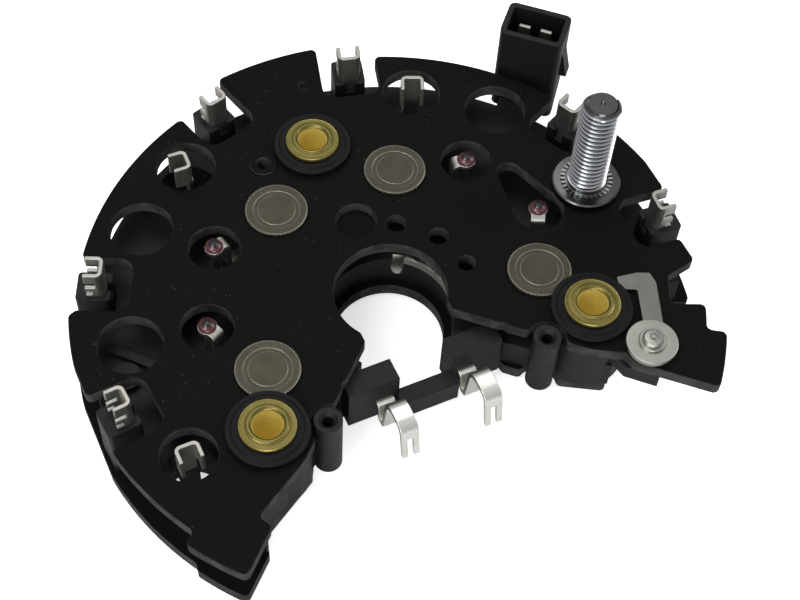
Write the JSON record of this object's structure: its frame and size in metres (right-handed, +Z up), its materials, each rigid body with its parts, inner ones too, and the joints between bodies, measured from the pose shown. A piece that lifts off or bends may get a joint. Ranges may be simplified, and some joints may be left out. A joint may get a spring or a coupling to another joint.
{
  "type": "alternator bridge rectifier",
  "caption": "Crescent bridge rectifier of a vehicle alternator: two black heat-sink plates with press-fit diodes, a moulded carrier, wire clips, output stud and plug.",
  "frame": {"origin": "centre of the mounting circle, on the plane of the bushes' lower faces", "axes": "+Z up out of the upper plate, +Y from the centre to the bush at the top of the crescent, +X towards the output stud"},
  "size_m": [0.1272, 0.1121, 0.046],
  "materials": {
    "black_paint": "satin",
    "black_moulding": "fine matte",
    "insulator_moulding": "satin",
    "tinned_sheet": "tinned, satin",
    "diode_nickel": "nickel, dull",
    "diode_wire": "drawn",
    "solder": "flux-stained",
    "bush_brass": "turned",
    "zinc_plate": "bright zinc",
    "strap_metal": "satin",
    "fork_tin": "tinned brass, satin"
  },
  "bodies": {
    "root": {"top_plate": "black_paint", "bottom_plate": "black_paint", "carrier": "black_moulding", "plug_housing": "black_moulding", "plug_blade_1": "tinned_sheet", "plug_blade_2": "tinned_sheet", "top_diode_1": "diode_nickel", "top_diode_2": "diode_nickel", "top_diode_3": "diode_nickel", "top_diode_4": "diode_nickel", "top_lead_1": "diode_wire", "top_lead_2": "diode_wire", "top_lead_3": "diode_wire", "top_lead_4": "diode_wire", "bottom_diode_1": "diode_nickel", "bottom_diode_2": "diode_nickel", "bottom_diode_3": "diode_nickel", "bottom_diode_4": "diode_nickel", "bottom_lead_1": "diode_wire", "bottom_lead_2": "diode_wire", "bottom_lead_3": "diode_wire", "bottom_lead_4": "diode_wire", "phase_bar_1": "tinned_sheet", "phase_bar_2": "tinned_sheet", "phase_bar_3": "tinned_sheet", "phase_bar_4": "tinned_sheet", "solder_bead_1": "solder", "solder_bead_2": "solder", "solder_bead_3": "solder", "solder_bead_4": "solder", "mount_bush_1": "bush_brass", "mount_bush_2": "bush_brass", "mount_bush_3": "bush_brass", "insulator_1": "insulator_moulding", "insulator_2": "insulator_moulding", "insulator_3": "insulator_moulding", "stud": "zinc_plate", "link_strap": "strap_metal", "strap_washer": "strap_metal", "strap_rivet": "strap_metal", "deck_rivet": "black_paint", "clip_1": "tinned_sheet", "clip_2": "tinned_sheet", "clip_3": "tinned_sheet", "clip_4": "tinned_sheet", "clip_5": "tinned_sheet", "clip_6": "tinned_sheet", "hook_1": "tinned_sheet", "hook_2": "tinned_sheet", "hook_3": "tinned_sheet", "fork_contact_1": "fork_tin", "fork_contact_2": "fork_tin", "ring_conductor": "tinned_sheet"}
  },
  "joints": []
}
